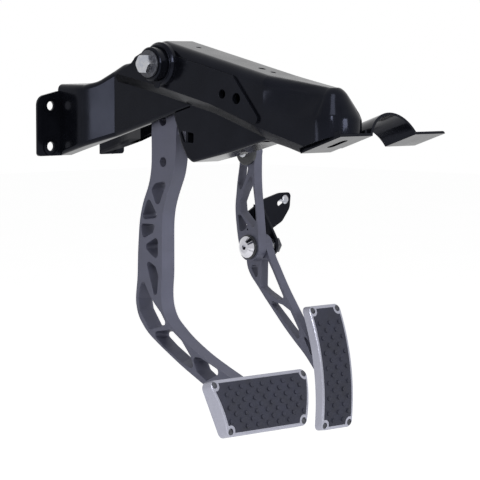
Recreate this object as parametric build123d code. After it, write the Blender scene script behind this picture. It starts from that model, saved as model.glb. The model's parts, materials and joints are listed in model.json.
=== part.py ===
from build123d import *
from math import acos, cos, radians, sin, sqrt, tan
import os

# Hanging brake and throttle pedal set: pressed steel hanger, trussed pedal arms, ribbed pads.
# X runs to the right of the vehicle, Y forward and Z up, in millimetres. The origin is the
# centre of the four firewall bolts, on the firewall face.

# Pressed steel sheet
sheet = 3.0

# Firewall flanges
bolt_spacing_x = 93.0
bolt_spacing_z = 47.0
bolt_hole = 10.5
ring_radius = 11.0
ring_inner_radius = 9.0
ring_height = 1.5
flange_outer_x = 66.0
flange_bottom_z = -34.5
flange_outer_top_z = 34.0
flange_inner_top_z = 40.5
flange_corner = 12.0

# Side plates of the hanger, left and right of the arm
wing_x = 33.0
panel_x = 21.0
return_x = 13.0
bend_start_y = -43.0
bend_end_y = -87.0
wing_rear_y = -213.0
wing_bottom_slope = 0.277
wing_top_z = 48.5
roll_top = 7.0
roll_bottom = 5.0

# Brake pivot
pivot_y = -180.0
pivot_z = 72.0
bolt_radius = 6.35
bolt_across_flats = 19.05
bolt_head = 8.0
boss_bore_clearance = 0.15
washer_radius = 15.0
washer = 2.5
boss_radius = 24.0
boss_step = 6.0
boss_top_radius = 18.5
boss_height = 18.5
retainer = 1.5
retainer_radius = 23.0
retainer_tab = 27.0
nut_height = 10.0
nut_thread = 4.0
sleeve_radius = 8.5
bushing_radius = 11.0
bushing_flange_radius = 13.0
bushing_flange = 1.5
hub_radius = 15.0
head_radius = 19.5
running_gap = 0.05
side_gap = 0.35

# Main channel
channel_x = 30.0
channel_corner = 12.0
channel_rear_y = -441.0
nose_draft_x = 17.5
nose_draft_z = 14.0
nose_corner = 14.0

# Boss plates on the channel walls
small_hole = 10.0
small_hole_y = -277.0
small_hole_z = 39.7
large_hole = 12.0
large_hole_y = -299.0
large_hole_z = 35.0

# Column saddle
saddle_angle = 18.0
foot_rear_z = 0.0
foot_length = 61.0
foot_left_x = -21.0
arch_left_x = 25.5
arch_chord = 71.0
arch_rise = 22.0
strap_length = 46.0
right_foot = 46.0
saddle_slot_x = 2.0
saddle_slot_from_rear = 28.0
saddle_slot_width = 9.0
saddle_slot_length = 27.0
saddle_lip = 3.0

# Lower box under the channel
box_x = 21.0
box_corner = 3.5
stop_plate_y = -204.0
bumper_radius = 7.0
bumper_face_y = -190.5
bumper_z = 4.0
bumper_stem_radius = 3.0
stop_gap = 0.3

# Brake arm
arm_half = 9.5
pin_hole = 11.0
pin_y = -156.0
upper_pin_z = 8.0
lower_pin_z = -38.0
arm_window_corner = 3.5

# Brake pad
brake_pad_y = -299.0
brake_pad_z = -265.5
brake_pad_tilt = 14.5
brake_pad_top = 149.0
brake_pad_bottom = 120.0
brake_pad_length = 62.5
brake_pad_thick = 13.5
brake_pad_crown = 4.5

# Throttle pad
throttle_pad_y = -207.5
throttle_pad_z = -211.0
throttle_pad_tilt = 8.6
throttle_pad_top = 52.0
throttle_pad_bottom = 52.0
throttle_pad_length = 146.0
throttle_pad_thick = 11.5
throttle_pad_crown = 10.5
throttle_pad_seat = 4.0
seat_width = 18.0
seat_length = 40.0

# Sizes shared by both pads
pad_corner = 7.5
pad_rim = 3.6
pad_recess = 4.0
pad_proud = 0.6
pad_fit = 0.15
pad_edge = 0.8
pad_spare = 3.0
lobe_radius = 6.8
lobe_inset = 5.4
pad_screw_radius = 2.0
pad_screw_head = 3.4
pad_screw_head_height = 1.6
pad_screw_sink = 2.2
pad_screw_room = 0.25
pad_screw_depth = 8.0
mount_screw_radius = 3.0
mount_screw_head = 5.5
mount_screw_head_height = 2.5
brake_grip = 14.0
throttle_grip = 6.0
thread_gap = 0.1

# Throttle levers
throttle_y = -102.0
throttle_z = -147.5
upper_lever_x = 178.0
upper_lever = 13.0
lower_lever_x = 192.0
lower_lever = 12.0
lever_hub_radius = 17.0
lower_hub_radius = 15.0
shaft_radius = 6.0
lever_bushing_radius = 9.0
cap_rim_x = 173.7
cap_face_x = 169.5
cap_radius = 13.0
cap_face_radius = 7.0
cap_socket = 6.0
cap_socket_depth = 3.0
cap_washer_radius = 14.5
cap_washer = 2.5
spacer_radius = 9.5
lever_window_corner = 2.5
eye_y = -99.0
eye_z = -33.0
eye_radius = 13.0
eye_bore = 9.0
eye_disc_radius = 16.0
eye_disc = 4.0
stud_radius = 4.0
stud_shank = 4.8
stud_shoulder = 1.0
stud_head_radius = 6.5
stud_head = 5.0
stud_reach = 9.0

# Throttle firewall bracket
leaf_rear_y = -75.0
ear_x = 212.5
ear_radius = 13.0
leaf_slot_x = 262.0
leaf_slot_z = -96.8
leaf_slot_angle = 27.6
leaf_slot_length = 18.5
leaf_slot_width = 6.6
leaf_second_x = 201.0
leaf_second_z = -121.0
leaf_screw_radius = 3.0
leaf_screw_head = 5.5
leaf_screw_head_height = 3.2
leaf_screw_reach = 12.0
shaft_nut_across = 17.0
shaft_nut = 8.0


def corner_points(before, corner, after, radius):
    """Start, middle and end of the tangent arc that rounds a corner."""
    here = Vector(corner[0], corner[1])
    back = (Vector(before[0], before[1]) - here).normalized()
    ahead = (Vector(after[0], after[1]) - here).normalized()
    half = acos(max(-1.0, min(1.0, back.dot(ahead)))) / 2
    reach = radius / tan(half)
    inward = (back + ahead).normalized()
    middle = here + inward * (radius / sin(half) - radius)
    return here + back * reach, middle, here + ahead * reach


def upward(edges):
    """A flat face inside a closed run of edges, facing up out of its plane."""
    flat = Face(Wire(edges))
    if flat.normal_at().Z < 0:
        flat = -flat
    return flat


def outline(*corners):
    """A flat face from corners (x, y) or (x, y, radius); the rounded ones get tangent arcs."""
    count = len(corners)
    joins = []
    for i, corner in enumerate(corners):
        if len(corner) == 3 and corner[2] > 0:
            joins.append(corner_points(corners[i - 1], corner, corners[(i + 1) % count], corner[2]))
        else:
            here = Vector(corner[0], corner[1])
            joins.append((here, None, here))
    edges = []
    for i, join in enumerate(joins):
        if join[1] is not None:
            edges.append(Edge.make_three_point_arc(join[0], join[1], join[2]))
        following = joins[(i + 1) % count][0]
        if (following - join[2]).length > 0.001:
            edges.append(Edge.make_line(join[2], following))
    return upward(edges)


def eased(radius, *points, sharp=()):
    """Outline with its corners rounded by radius, or by less where a corner has no room."""
    corners = []
    count = len(points)
    for i, (x, y) in enumerate(points):
        here = Vector(x, y)
        back = Vector(*points[i - 1]) - here
        ahead = Vector(*points[(i + 1) % count]) - here
        half = acos(max(-1.0, min(1.0, back.normalized().dot(ahead.normalized())))) / 2
        room = 0.48 * min(back.length, ahead.length) * tan(half)
        straight = half > 1.565
        corners.append((x, y) if i in sharp or straight else (x, y, min(radius, room)))
    return outline(*corners)


def flowing(front, back):
    """A flat face between two edges of flowing arcs that both run from one end to the other."""
    points = list(front) + list(reversed(back))
    ends = (0, len(front) - 1, len(front), len(points) - 1)
    return eased(400, *points, sharp=ends)


def slab(x0, x1, flat):
    """A flat face drawn in (Y, Z), made into a plate from x0 to x1."""
    return extrude(Plane.YZ.offset(x0) * flat, x1 - x0, dir=(1, 0, 0))


def pin(y, z, radius, x0, x1):
    """A round bar along X."""
    return extrude(Plane.YZ.offset(x0) * (Pos(y, z) * Circle(radius)), x1 - x0, dir=(1, 0, 0))


def tube(y, z, radius, bore, x0, x1):
    """A tube along X."""
    return pin(y, z, radius, x0, x1) - pin(y, z, bore, x0 - 1, x1 + 1)


def hexagon(y, z, across, x0, x1):
    """A hexagonal bar along X, two of its corners up and down."""
    flat = Plane.YZ.offset(x0) * (Pos(y, z) * RegularPolygon(across / 2, 6, major_radius=False))
    return extrude(flat, x1 - x0, dir=(1, 0, 0))


def both(solid):
    """A piece and its mirror image on the other side of the arm."""
    return [solid, mirror(solid, Plane.YZ)]


def group(*solids):
    """Separate solids that make up one node."""
    found = []
    for solid in solids:
        found += list(solid.solids())
    return Compound(children=found)


# Main channel: straight sections joined by ruled faces, then a revolved nose with draft
nose_y = channel_rear_y + channel_x
top_line = [(-90.0, 104.0), (-160.0, 100.5), (-335.0, 60.0), (nose_y, 47.5)]
bend_line = [(-90.0, 63.0), (-160.0, 50.0), (-255.0, 28.5), (-335.0, 3.0), (nose_y, -7.0)]


def level(line, y):
    """Height of a line of (y, z) points at y, straight between them."""
    for (y0, z0), (y1, z1) in zip(line, line[1:]):
        if y1 <= y <= y0:
            return z0 + (z1 - z0) * (y - y0) / (y1 - y0)
    return line[-1][1]


def channel_half(y, inset):
    """Right-hand half of the channel section: lip, bend, wall, draft and top corner."""
    top = level(top_line, y) - inset
    bend = level(bend_line, y)
    wall = channel_x - inset
    slope = 1.07 if inset else 0.0
    end_z = bend - 5.9 if inset else bend - 10.6
    floor = bend - 14.0 if inset else bend - 10.6
    points = [(panel_x, floor), (panel_x, end_z), (wall, bend + slope)]
    if y == nose_y:
        points += [(wall, nose_draft_z), (nose_draft_x - inset * 0.8, top, nose_corner - inset)]
    else:
        points += [(wall, bend + 18.0), (wall, top, channel_corner - inset)]
    return points


def channel_section(y, inset):
    """Full section of the channel across X at y."""
    half = channel_half(y, inset)
    if not inset:
        half = half[1:]
    left = [(-p[0],) + tuple(p[1:]) for p in reversed(half)]
    plane = Plane(origin=(0, y, 0), x_dir=(1, 0, 0), z_dir=(0, -1, 0))
    return plane * outline(*(half + left))


def channel_body(inset):
    """Outer form of the channel, or the hollow inside it when inset is the sheet thickness."""
    stations = [-90.0, -160.0, -255.0, -335.0, nose_y]
    faces = [channel_section(y, inset) for y in stations]
    body = None
    for one, two in zip(faces, faces[1:]):
        piece = loft([one, two], ruled=True)
        body = piece if body is None else body + piece
    half = channel_half(nose_y, inset)
    top = half[-1][1]
    floor = -20.0
    profile = outline((0, floor), (half[3][0], floor), half[3], half[4], (0, top))
    plane = Plane(origin=(0, nose_y, 0), x_dir=(1, 0, 0), z_dir=(0, -1, 0))
    nose = revolve(plane * profile, Axis((0, nose_y, 0), (0, 0, 1)), 360)
    nose = nose & Pos(0, nose_y - 50, 20) * Box(120, 100, 120)
    return body + nose


channel_side = slab(-40, 40, outline(
    (-93, 50), (-93, 58, 3), (-108, 63, 12), (-128, 74, 30), (-147, 100, 12), (-150, 130),
    (-450, 130), (-450, 11.4), (channel_rear_y, 8.6), (-386, -8.6, 6), (-378, -40), (-93, -40)))
main_channel = (channel_body(0) - channel_body(sheet)) & channel_side
for x in (channel_x - sheet - 2, -channel_x - 2):
    main_channel -= pin(pivot_y, pivot_z, bolt_radius + boss_bore_clearance, x, x + sheet + 4)
top_holes = ((0, -205, 3.2), (0, -305, 4.0), (0, -322, 3.2))
for x, y, radius in top_holes:
    main_channel -= Pos(x, y, level(top_line, y)) * Cylinder(radius, 20)


def plan_block(outer_x, rear_x, inner_x, y_front, y_rear, shift, bend):
    """Side plate in plan: wide at the front, narrow at the back, with the slanted part between."""
    flat = outline(
        (outer_x, y_front), (outer_x, bend_start_y + shift, bend[0]),
        (rear_x, bend_end_y + shift, bend[1]), (rear_x, y_rear), (inner_x, y_rear), (inner_x, y_front))
    return extrude(Plane.XY.offset(-60) * flat, 200, dir=(0, 0, 1))


def long_edges(solid, x_least, above):
    """Outer edges of a side plate that run along its top, or along its bottom."""
    chosen = []
    for edge in solid.edges():
        box = edge.bounding_box()
        centre = edge.center()
        if box.min.X < x_least or box.max.Y - box.min.Y < 2:
            continue
        if above and centre.Y > -142 and centre.Z > 40:
            chosen.append(edge)
        if not above and centre.Z < 10:
            chosen.append(edge)
    return chosen


def rolled(solid, x_least, top_radius, bottom_radius):
    """Side plate form with its top and bottom edges rolled inwards."""
    top = fillet(long_edges(solid, x_least, True), top_radius)
    bottom = fillet(long_edges(solid, x_least, False), bottom_radius)
    return top & bottom


rear_bottom_z = flange_bottom_z - wing_bottom_slope * wing_rear_y
wing_block = plan_block(wing_x, panel_x, return_x, 0, wing_rear_y, 0, (15, 6))
wing_block = wing_block & slab(0, 60, outline(
    (0, flange_bottom_z), (0, wing_top_z), (-60, wing_top_z - 1, 30), (-98, 66, 40), (-138, 78, 14),
    (-160, 48, 10), (wing_rear_y, rear_bottom_z + 6.5), (wing_rear_y, rear_bottom_z)))
wing_block = rolled(wing_block, panel_x - 0.5, roll_top, roll_bottom)
wing_hollow = plan_block(wing_x - sheet, panel_x - sheet, return_x - 5, 5, wing_rear_y - 5, 0.4, (18, 3))
wing_hollow = wing_hollow & slab(0, 60, outline(
    (5, flange_bottom_z + sheet - 1.4), (5, wing_top_z - sheet), (-60, wing_top_z - 1 - sheet, 33),
    (-98, 66 - sheet, 37), (-138, 78 - sheet, 11), (-157, 60, 12), (-175, 130), (-230, 130),
    (wing_rear_y - 5, rear_bottom_z + 4.6)))
wing_hollow = rolled(wing_hollow, panel_x - sheet - 0.5, roll_top - sheet, roll_bottom - sheet)
flange = extrude(Plane.XZ * outline(
    (wing_x - sheet, flange_bottom_z), (flange_outer_x, flange_bottom_z, 4),
    (flange_outer_x, flange_outer_top_z, flange_corner), (wing_x + 2, flange_inner_top_z, 6),
    (wing_x - sheet, flange_inner_top_z)), sheet, dir=(0, -1, 0))
for z in (-bolt_spacing_z / 2, bolt_spacing_z / 2):
    place = Plane.XZ * Pos(bolt_spacing_x / 2, z)
    flange += extrude(place * Circle(ring_radius), sheet + ring_height, dir=(0, -1, 0))
    flange -= extrude(place * Circle(bolt_hole / 2), 3 * sheet, dir=(0, -1, 0))
    flange -= extrude(Plane.XZ.offset(sheet) * Pos(bolt_spacing_x / 2, z) * Circle(ring_inner_radius),
                      ring_height + 1, dir=(0, -1, 0))
right_side_plate = (wing_block - wing_hollow) + flange
right_side_plate = right_side_plate.solids().sort_by(SortBy.VOLUME)[-1]
left_side_plate = mirror(right_side_plate, Plane.YZ)

# Boss plates with the stepped pivot boss
plate_x = channel_x + sheet
top_front = (-172.0, level(top_line, -172.0) - 10.0)
doubler = outline(
    (-153.5, 60, 14), (-153.5, 88, 14), top_front + (6,), (-292.6, level(top_line, -292.6) - 10.0, 5),
    (-341, level(bend_line, -341) + 2.0, 5), (-255.0, level(bend_line, -255.0) + 1.0),
    (-170.0, level(bend_line, -170.0) + 1.0, 12))
boss_plate = slab(channel_x, plate_x, doubler)
boss = pin(pivot_y, pivot_z, boss_radius, plate_x - 1, plate_x + boss_step)
boss = chamfer(boss.edges().sort_by(Axis.X)[-1], 2.5)
top_step = pin(pivot_y, pivot_z, boss_top_radius, plate_x - 1, plate_x + boss_height)
top_step = chamfer(top_step.edges().sort_by(Axis.X)[-1], 1.2)
boss_plate += boss
boss_plate += top_step
boss_plate -= pin(pivot_y, pivot_z, bolt_radius + boss_bore_clearance, 0, 80)
boss_plate -= pin(small_hole_y, small_hole_z, small_hole / 2, 20, 40)
boss_plate -= pin(large_hole_y, large_hole_z, large_hole / 2, 20, 40)
right_boss_plate = boss_plate
left_boss_plate = mirror(boss_plate, Plane.YZ)
for x in (-40, 20):
    main_channel -= pin(small_hole_y, small_hole_z, small_hole / 2, x, x + 20)
    main_channel -= pin(large_hole_y, large_hole_z, large_hole / 2, x, x + 20)

# Pivot bolt, nut, washers, retainers and sleeve
boss_face = plate_x + boss_height
bolt_end = boss_face + washer + nut_height + nut_thread
head_start = -(boss_face + washer)
pivot_bolt = pin(pivot_y, pivot_z, bolt_radius, head_start - 1, bolt_end)
pivot_bolt = chamfer(pivot_bolt.edges().sort_by(Axis.X)[-1], 1.2)
head = hexagon(pivot_y, pivot_z, bolt_across_flats, head_start - bolt_head, head_start)
crown_cone = Plane.YZ.offset(head_start - bolt_head) * Pos(pivot_y, pivot_z) * Circle(10.2)
head = head & extrude(crown_cone, 30, dir=(1, 0, 0), taper=-30)
pivot_bolt += head
nut_end = boss_face + washer + nut_height
nut = hexagon(pivot_y, pivot_z, bolt_across_flats, boss_face + washer, nut_end)
nut_cone = Plane.YZ.offset(nut_end) * Pos(pivot_y, pivot_z) * Circle(10.2)
nut = nut & extrude(nut_cone, 30, dir=(-1, 0, 0), taper=-30)
pivot_nut = nut - pin(pivot_y, pivot_z, bolt_radius + thread_gap, 40, 90)
one_washer = tube(pivot_y, pivot_z, washer_radius, bolt_radius + boss_bore_clearance,
                  boss_face, boss_face + washer)
pivot_washers = group(*both(one_washer))
tab = outline(
    (pivot_y - 6, pivot_z - 10), (pivot_y - 4.5, pivot_z - retainer_tab, 4),
    (pivot_y + 4.5, pivot_z - retainer_tab, 4), (pivot_y + 6, pivot_z - 10))
retainer_x = plate_x + boss_step
one_retainer = slab(retainer_x, retainer_x + retainer, tab)
one_retainer += pin(pivot_y, pivot_z, retainer_radius - 1.5, retainer_x, retainer_x + retainer)
one_retainer -= pin(pivot_y, pivot_z, boss_top_radius + 0.3, retainer_x - 1, retainer_x + 5)
pivot_retainers = group(*both(one_retainer))
inner_wall = channel_x - sheet
pivot_sleeve = tube(pivot_y, pivot_z, sleeve_radius, bolt_radius + boss_bore_clearance,
                    -inner_wall, inner_wall)

# Lower box with its bottom plate, stop web and rear skirts
def seam_level(y):
    """Top edge of the box walls: under the side plate at the front, beside the lips behind it."""
    return level(bend_line, y) - 5.6


box_flat = outline(
    (-185.5, 16.4), (-187.5, 9, 8), (-194, -7, 6), (-197, -16, 8), (-206, -31, 8), (-215, -36.5, 6),
    (-277, -23.4, 60), (-331, -9.2, 8), (-383, -20.5), (-439.5, -1.85), (-439.5, 3.4), (-429, 0.6),
    (-424, 9, 4), (-372, 9, 12),
    (-335, seam_level(-335)), (-255, seam_level(-255)), (-213.6, seam_level(-213.6)), (-213.6, 24.2))
box_block = slab(-box_x, box_x, box_flat)
low = [e for e in box_block.edges() if abs(abs(e.center().X) - box_x) < 0.01 and e.center().Z < -7
       and e.center().Y > -330 and e.center().Y < -200 and e.bounding_box().max.Z < -5]
box_block = fillet(low, box_corner)
box_inside = slab(-box_x + sheet, box_x - sheet, outline(
    (-150, 60), (-150, -31.5), (-214.5, -33.4, 2), (-277, -20.4, 57), (-322, -8.6), (-323, -60),
    (-460, -60), (-460, 60)))
lower_box = box_block - box_inside
lower_box -= slab(-40, 40, outline((-197, -1.5, 2), (-219, -4, 2), (-219, -15, 2), (-203, -14, 2)))
web = slab(-box_x + sheet - 0.5, box_x - sheet + 0.5, outline(
    (stop_plate_y, 17), (stop_plate_y - sheet, 17), (stop_plate_y - sheet, -20), (stop_plate_y, -20)))
web -= Pos(0, stop_plate_y, bumper_z) * Rot(90, 0, 0) * Cylinder(bumper_stem_radius + 0.1, 20)
lower_box += web
foot_plane = Plane(origin=(0, channel_rear_y, foot_rear_z), x_dir=(1, 0, 0),
                   z_dir=(0, -cos(radians(saddle_angle)), sin(radians(saddle_angle))))
below_foot = extrude(foot_plane.offset(50) * Pos(0, -50) * Rectangle(300, 100), -50.3 - foot_length)
lower_box -= below_foot

# Rubber stop bumper on the web
bumper = Plane(origin=(0, stop_plate_y, bumper_z), x_dir=(1, 0, 0), z_dir=(0, 1, 0))
bumper_length = bumper_face_y - stop_plate_y
stop_bumper = extrude(bumper * Circle(bumper_radius), bumper_length)
stop_bumper = chamfer(stop_bumper.edges().sort_by(Axis.Y)[-1], 1.2)
stop_bumper += extrude(bumper * Circle(bumper_stem_radius), -sheet - 3)
stop_bumper += extrude(bumper.offset(-sheet) * Circle(bumper_stem_radius + 1.5), -3)

# Column saddle: left foot, arch over the column, right foot with a turned-down lip
arch_radius = ((arch_chord / 2) ** 2 + arch_rise ** 2) / (2 * arch_rise)
arch_x = arch_left_x + arch_chord / 2
arch_z = arch_rise - arch_radius
right_x = arch_left_x + arch_chord + right_foot
front_of_foot = foot_plane.offset(-foot_length)
front_of_strap = foot_plane.offset(-strap_length)
left_foot = extrude(front_of_foot * outline(
    (foot_left_x, 0), (foot_left_x, -sheet), (arch_left_x - 1, -sheet),
    (arch_left_x - 1, 0)), foot_length)
strap = Pos(arch_x, arch_z) * (Circle(arch_radius) - Circle(arch_radius - sheet))
strap = strap & (Pos(arch_x, 97) * Rectangle(200, 200))
strap = front_of_strap * strap
column_saddle = extrude(strap, strap_length) + left_foot
column_saddle += extrude(front_of_strap * outline(
    (foot_left_x, 0), (foot_left_x, -sheet), (arch_left_x + 2, -sheet),
    (arch_left_x + 2, 0)), strap_length)
column_saddle += extrude(front_of_strap * outline(
    (right_x - right_foot - 2, 0), (right_x - right_foot - 2, -sheet), (right_x - sheet, -sheet),
    (right_x - sheet, -sheet - saddle_lip), (right_x, -sheet - saddle_lip), (right_x, 0, 3)), strap_length)
slot = Plane(origin=foot_plane.from_local_coords((saddle_slot_x, 5, -saddle_slot_from_rear)),
             x_dir=foot_plane.z_dir, z_dir=foot_plane.y_dir)
column_saddle -= extrude(slot * SlotOverall(saddle_slot_length, saddle_slot_width), -15)


# Brake arm: a thick trussed bar between two smooth edges, with a hub tube at the pivot
brake_front = [
    (-163, 68), (-152, 42), (-141, 20), (-136.5, 0), (-137, -25), (-136.5, -46), (-132, -65),
    (-122, -84), (-116, -105), (-113, -140), (-112, -172), (-109.3, -190), (-109, -200), (-113, -215),
    (-128, -232.5), (-150, -246), (-184, -265), (-217, -281), (-296, -317)]
brake_back = [
    (-199, 72), (-191, 45), (-182, 20), (-177.5, -8), (-177.5, -30), (-173.5, -52), (-165, -69),
    (-157, -88), (-154, -106), (-154, -136), (-154, -166), (-152, -184), (-153, -200), (-160, -215),
    (-184, -234), (-217, -252), (-249, -265), (-292, -281.5)]
brake_arm = slab(-arm_half, arm_half, flowing(brake_front, brake_back))
brake_arm += pin(pivot_y, pivot_z, head_radius, -arm_half, arm_half)
stop_lug = slab(-arm_half + 1.5, arm_half - 1.5, outline(
    (-165, 22), (-165, -9), (-178, -7), (bumper_face_y + stop_gap, -2, 4),
    (bumper_face_y + stop_gap, 12, 6), (-182, 22)))
brake_arm += stop_lug
half_hub = inner_wall - bushing_flange - side_gap
brake_arm += pin(pivot_y, pivot_z, hub_radius, -half_hub, half_hub)
brake_windows = [
    [(-137.5, -70), (-144, -64), (-161, -61), (-153, -76), (-149, -84), (-144, -83)],
    [(-131, -81), (-121, -103), (-146, -100), (-137, -88)],
    [(-120, -110), (-141, -110), (-137, -118), (-122, -125)],
    [(-125, -135), (-146, -124), (-145, -148)],
    [(-127, -151), (-142, -159), (-146, -168), (-144, -186), (-140, -187)],
    [(-121, -173), (-133, -192), (-140, -200), (-149, -208), (-159, -220), (-133, -227), (-118, -208),
     (-115.5, -196)],
    [(-138, -233), (-169, -229), (-184, -239), (-199, -254), (-205, -268), (-184, -260), (-159, -247)],
    [(-206, -255), (-219, -256), (-249, -267), (-226, -276.5), (-213, -269)]]
for points in brake_windows:
    brake_arm -= slab(-20, 20, eased(arm_window_corner, *points))
for z in (upper_pin_z, lower_pin_z):
    brake_arm -= pin(pin_y, z, pin_hole / 2, -20, 20)
brake_arm -= pin(pivot_y, pivot_z, bushing_radius, -40, 40)

# Flanged bushings pressed into the hub from both sides, turning on the sleeve
one_bushing = pin(pivot_y, pivot_z, bushing_radius, 1.0, half_hub)
one_bushing += pin(pivot_y, pivot_z, bushing_flange_radius, half_hub, half_hub + bushing_flange)
one_bushing -= pin(pivot_y, pivot_z, sleeve_radius + running_gap, 0, 40)
pivot_bushings = group(*both(one_bushing))


def pad_plane(x, y, z, tilt):
    """Plane of a pad's front: along X, up the pad, and out towards the driver."""
    return Plane(origin=(x, y, z), x_dir=(1, 0, 0),
                 z_dir=(0, -cos(radians(tilt)), sin(radians(tilt))))


def bow(length, crown, along):
    """Rise of a bowed face over its end points, at a distance up from the pad's top edge."""
    radius = (length ** 2 / 4 + crown ** 2) / (2 * crown)
    return sqrt(radius ** 2 - (along + length / 2) ** 2) - (radius - crown)


def crowned(plane, length, low, high, crown, width, low_crown=0.0):
    """Body between two depths, longer than the pad, its front bowed, and its back if asked."""
    top = pad_spare
    bottom = -length - pad_spare
    rise = bow(length, crown, pad_spare)
    curve = Edge.make_three_point_arc(Vector(top, high + rise), Vector(-length / 2, high + crown),
                                      Vector(bottom, high + rise))
    dip = 0.0
    behind = Edge.make_line(Vector(bottom, low), Vector(top, low))
    if low_crown > 0:
        dip = bow(length, low_crown, pad_spare)
        behind = Edge.make_three_point_arc(Vector(bottom, low + dip),
                                           Vector(-length / 2, low + low_crown), Vector(top, low + dip))
    edges = [curve, Edge.make_line(Vector(bottom, high + rise), Vector(bottom, low + dip)), behind,
             Edge.make_line(Vector(top, low + dip), Vector(top, high + rise))]
    side = Plane(origin=plane.from_local_coords((-width, 0, 0)), x_dir=plane.y_dir, z_dir=plane.x_dir)
    return extrude(side * upward(edges), 2 * width)


def lobes(top, bottom, length):
    """Corner screw positions in the pad's plane."""
    slope = (top - bottom) / 2 / length
    upper = top / 2 - lobe_inset - slope * lobe_inset
    lower = bottom / 2 - lobe_inset + slope * lobe_inset
    return [(-upper, -lobe_inset), (upper, -lobe_inset), (-lower, lobe_inset - length),
            (lower, lobe_inset - length)]


def on_front(plane, edge, length, crown):
    """Whether an edge lies on the bowed front of a pad."""
    spot = plane.to_local_coords(edge @ 0.5)
    return spot.Z > bow(length, crown, spot.Y) - 2.5


def pad_pieces(plane, top, bottom, length, thick, crown, mounts, back_crown, seat_depth, grip):
    """Frame, rubber insert, corner screws and mounting screws of one pad."""
    slope = (top - bottom) / 2 / length
    full = outline((-top / 2, 0, pad_corner), (top / 2, 0, pad_corner),
                   (bottom / 2, -length, pad_corner), (-bottom / 2, -length, pad_corner))
    prism = extrude(plane.offset(-thick - 5) * full, thick + crown + 20)
    frame = crowned(plane, length, -thick, 0, crown, top, back_crown) & prism
    front = [e for e in frame.edges() if on_front(plane, e, length, crown)]
    frame = chamfer(front, pad_edge)
    if back_crown > 0:
        middle = (mounts[0] + mounts[1]) / 2
        frame += plane * Pos(0, middle, -seat_depth) * extrude(
            Rectangle(seat_width, seat_length), seat_depth + 0.7)
    inner = outline(
        (-top / 2 + pad_rim, -pad_rim, 4), (top / 2 - pad_rim, -pad_rim, 4),
        (bottom / 2 - pad_rim, pad_rim - length, 4), (-bottom / 2 + pad_rim, pad_rim - length, 4))
    for place in lobes(top, bottom, length):
        inner -= Pos(*place) * Circle(lobe_radius)
    inner = inner.faces().sort_by(SortBy.AREA)[-1]
    floor = crowned(plane, length, -thick - 10, -pad_recess, crown, top)
    hole = extrude(plane.offset(-pad_recess - 1) * inner, pad_recess + crown + 10) - floor
    frame -= hole
    small = offset(inner, -pad_fit).faces().sort_by(SortBy.AREA)[-1]
    rubber = extrude(plane.offset(-pad_recess - 1) * small, pad_recess + crown + 10) - floor
    rubber = rubber & crowned(plane, length, -thick, pad_proud, crown, top)
    screws = []
    for x, y in lobes(top, bottom, length):
        rise = bow(length, crown, y) - pad_screw_sink
        seat = plane * Pos(x, y, rise)
        frame -= seat * extrude(Circle(pad_screw_head + pad_screw_room), 12)
        frame -= seat * Pos(0, 0, -pad_screw_depth) * extrude(Circle(pad_screw_radius + thread_gap), 20)
        head = extrude(Circle(pad_screw_head), pad_screw_head_height)
        head = chamfer(head.edges().sort_by(Axis.Z)[-1], 0.5)
        head += extrude(Circle(pad_screw_radius), -pad_screw_depth + 1)
        screws.append(seat * head)
    bolts = []
    for y in mounts:
        rise = bow(length, crown, y) - pad_recess - mount_screw_head_height - 1.2
        seat = plane * Pos(0, y, rise)
        frame -= seat * extrude(Circle(mount_screw_head + 0.3), 20)
        frame -= seat * extrude(Circle(mount_screw_radius + thread_gap), -40)
        depth = rise + seat_depth + grip
        bolt = extrude(Circle(mount_screw_head), mount_screw_head_height)
        bolt += extrude(Circle(mount_screw_radius), -depth)
        bolts.append(seat * bolt)
    return frame, rubber, group(*screws), group(*bolts)


def cut_for_pad(arm, plane, thick, mounts, grip):
    """Arm cut flush with the back of its pad, with blind holes for the mounting screws."""
    arm -= plane * Pos(0, 0, 100 - thick) * Box(200, 400, 200)
    for y in mounts:
        arm -= plane * Pos(0, y, -thick) * extrude(Circle(mount_screw_radius + thread_gap),
                                                   -grip - 0.6)
    return arm


brake_plane = pad_plane(0, brake_pad_y, brake_pad_z, brake_pad_tilt)
brake_mounts = (-19.0, -34.0)
brake_arm = cut_for_pad(brake_arm, brake_plane, brake_pad_thick, brake_mounts, brake_grip)
brake_pad = pad_pieces(brake_plane, brake_pad_top, brake_pad_bottom, brake_pad_length,
                       brake_pad_thick, brake_pad_crown, brake_mounts, 0.0, brake_pad_thick, brake_grip)
brake_pad_frame, brake_pad_rubber, brake_pad_screws, brake_pad_mount_screws = brake_pad

# Throttle levers
upper_front = [
    (-86.5, -33), (-86, -49), (-82, -68), (-80, -86), (-78.3, -98), (-79, -112), (-81, -126),
    (-83, -138), (-86, -150)]
upper_back = [
    (-111.5, -33), (-111, -61), (-112, -79), (-114, -96), (-116, -112), (-118, -129), (-118.5, -147)]
upper_end = upper_lever_x + upper_lever
throttle_upper_lever = slab(upper_lever_x, upper_end, flowing(upper_front, upper_back))
throttle_upper_lever += pin(eye_y, eye_z, eye_radius, upper_lever_x, upper_end)
throttle_upper_lever += pin(throttle_y, throttle_z, lever_hub_radius, upper_lever_x, upper_end)
upper_windows = [
    [(-87, -50), (-97, -50), (-99, -54), (-97, -61), (-90, -76), (-86, -77), (-84.5, -72)],
    [(-104, -63), (-107, -67), (-111, -97), (-113, -113), (-110, -124), (-100, -115), (-88, -104),
     (-87, -94), (-92, -84)],
    [(-83.5, -111), (-88, -111), (-98, -122), (-92, -127), (-86, -128)]]
for points in upper_windows:
    throttle_upper_lever -= slab(upper_lever_x - 5, upper_end + 5, eased(lever_window_corner, *points))
throttle_upper_lever -= pin(-99.5, -126.5, 1.2, upper_lever_x - 5, upper_end + 5)
throttle_upper_lever -= pin(eye_y, eye_z, eye_bore, upper_lever_x - 5, upper_end + 5)
throttle_upper_lever -= pin(throttle_y, throttle_z, lever_bushing_radius, 150, 250)

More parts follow.
